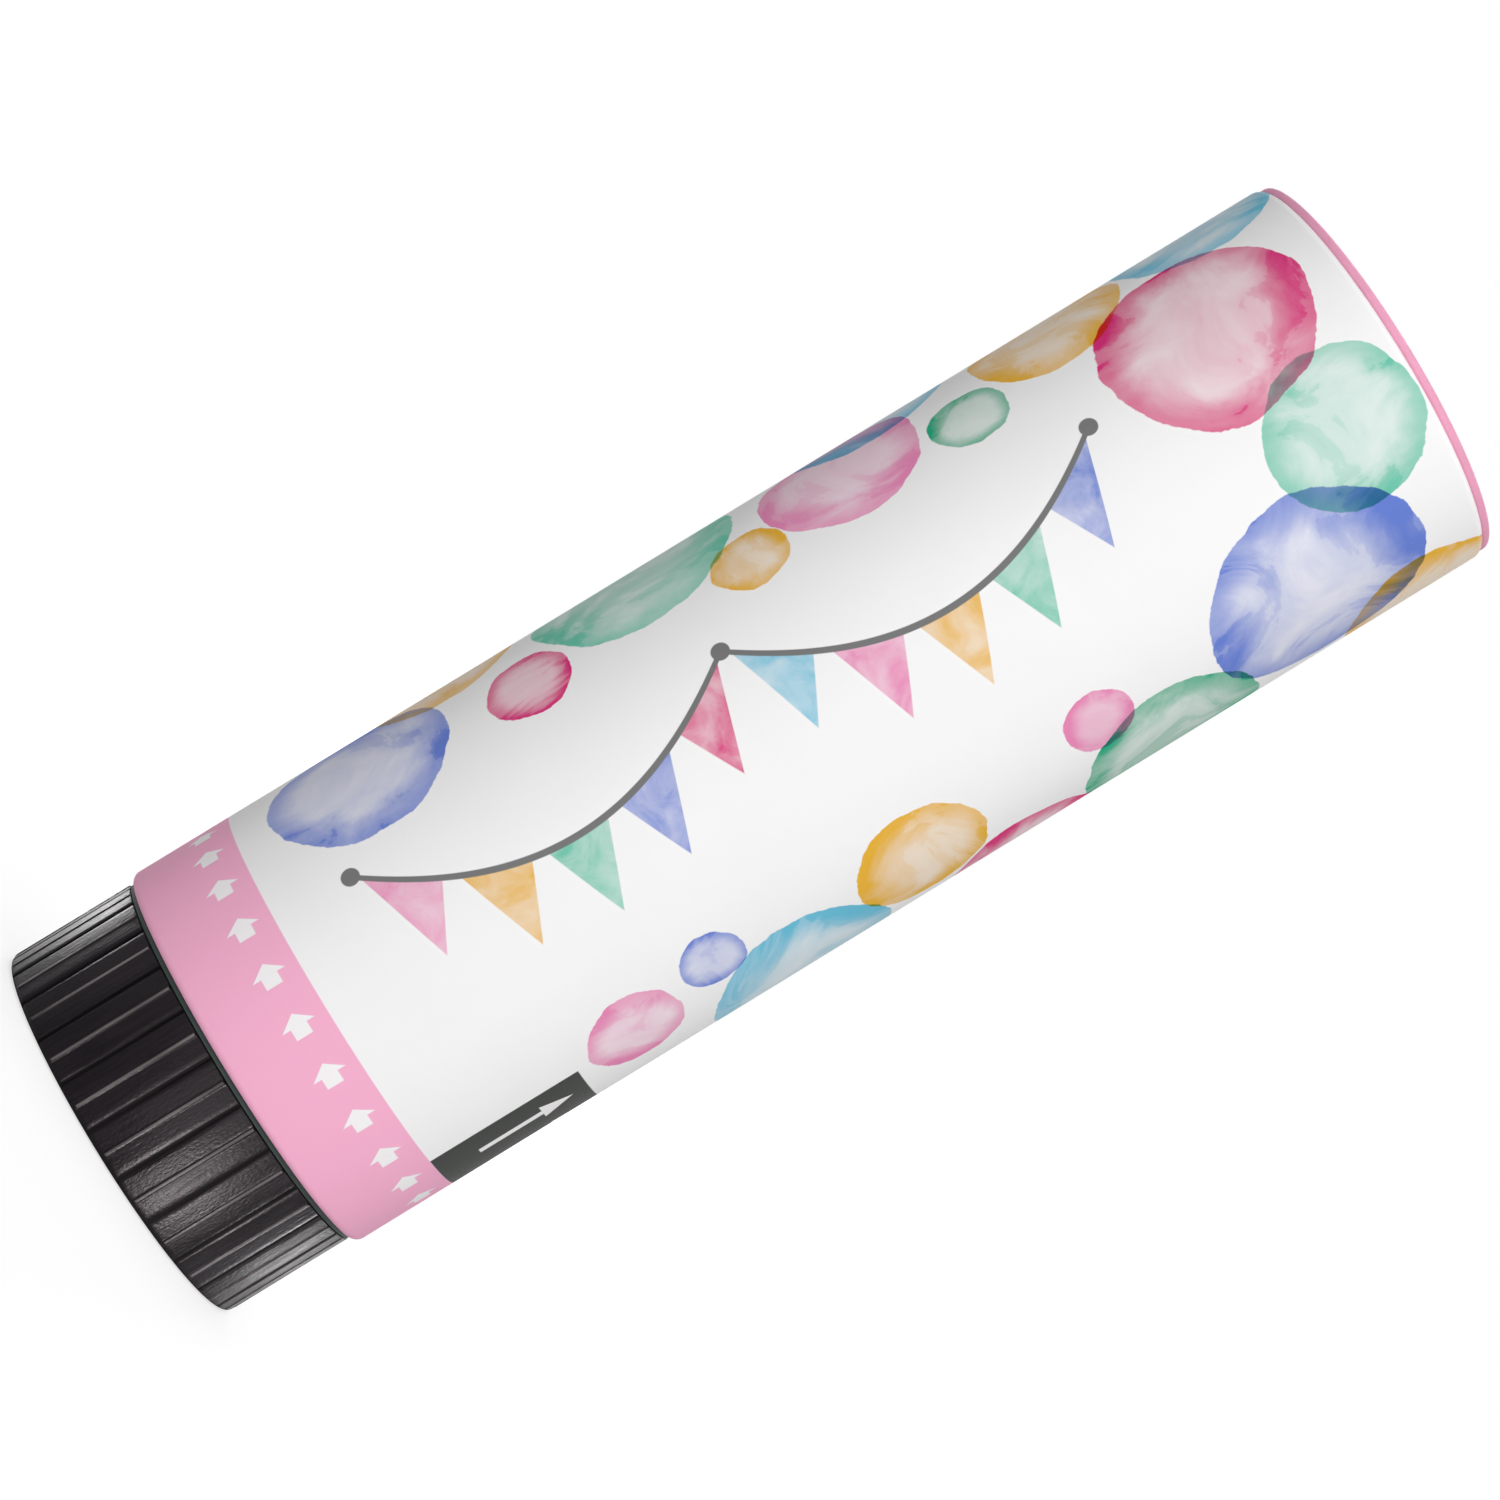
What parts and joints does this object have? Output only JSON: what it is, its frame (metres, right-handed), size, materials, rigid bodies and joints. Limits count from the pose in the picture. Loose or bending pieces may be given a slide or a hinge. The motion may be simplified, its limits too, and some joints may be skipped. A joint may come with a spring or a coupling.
{
  "type": "confetti popper",
  "caption": "Hand-held spring confetti popper: a paper-wrapped card tube with a pink card lid over the muzzle and a fluted black knob that is twisted to fire it.",
  "frame": {"origin": "middle of the knob's foot, on the surface that the popper stands on", "axes": "+Z along the tube towards the muzzle, -Y towards the front of the print, where the picture looks from"},
  "size_m": [0.032, 0.0321, 0.11],
  "materials": {
    "tube_card": "spiral-wound greyboard",
    "printed_paper": "satin offset print",
    "pink_card": "satin dyed card",
    "black_plastic": "injection-moulded, satin",
    "grey_plastic": "injection-moulded, satin",
    "spring_steel": "drawn wire",
    "white_plastic": "injection-moulded, natural white",
    "wad_card": "die-cut greyboard",
    "pink_paper": "matt tissue",
    "yellow_paper": "matt tissue",
    "mint_paper": "matt tissue",
    "sky_paper": "matt tissue",
    "lilac_paper": "matt tissue",
    "white_paper": "matt tissue"
  },
  "bodies": {
    "barrel": {"cardboard_tube": "tube_card", "printed_wrap": "printed_paper", "spring_seat": "grey_plastic", "launch_spring": "spring_steel"},
    "knob": {"twist_knob": "black_plastic"},
    "latch": {"latch_stem": "white_plastic"},
    "piston": {"pusher": "white_plastic"},
    "charge": {"wad_disc": "wad_card", "confetti_pink": "pink_paper", "confetti_yellow": "yellow_paper", "confetti_mint": "mint_paper", "confetti_sky": "sky_paper", "confetti_lilac": "lilac_paper", "confetti_white": "white_paper"},
    "lid": {"muzzle_lid": "pink_card"}
  },
  "joints": [
    {"name": "knob_twist", "type": "hinge", "parent": "barrel", "child": "knob", "pos_m": [0, 0, 0], "axis": [0, 0, -1], "range_deg": [-90, 0]},
    {"name": "pusher_slide", "type": "slide", "parent": "barrel", "child": "piston", "axis": [0, 0, 1], "range_m": [0, 0.05], "deforming": ["launch_spring"]},
    {"name": "stem_slide", "type": "slide", "parent": "knob", "child": "latch", "axis": [0, 0, 1], "range_m": [0, 0.05]},
    {"name": "charge_slide", "type": "slide", "parent": "piston", "child": "charge", "axis": [0, 0, 1], "range_m": [0, 0.03]},
    {"name": "lid_slide", "type": "slide", "parent": "charge", "child": "lid", "axis": [0, 0, 1], "range_m": [0, 0.03]}
  ],
  "couplings": [
    {"joint": "stem_slide", "follows": "pusher_slide", "ratio": 1}
  ]
}
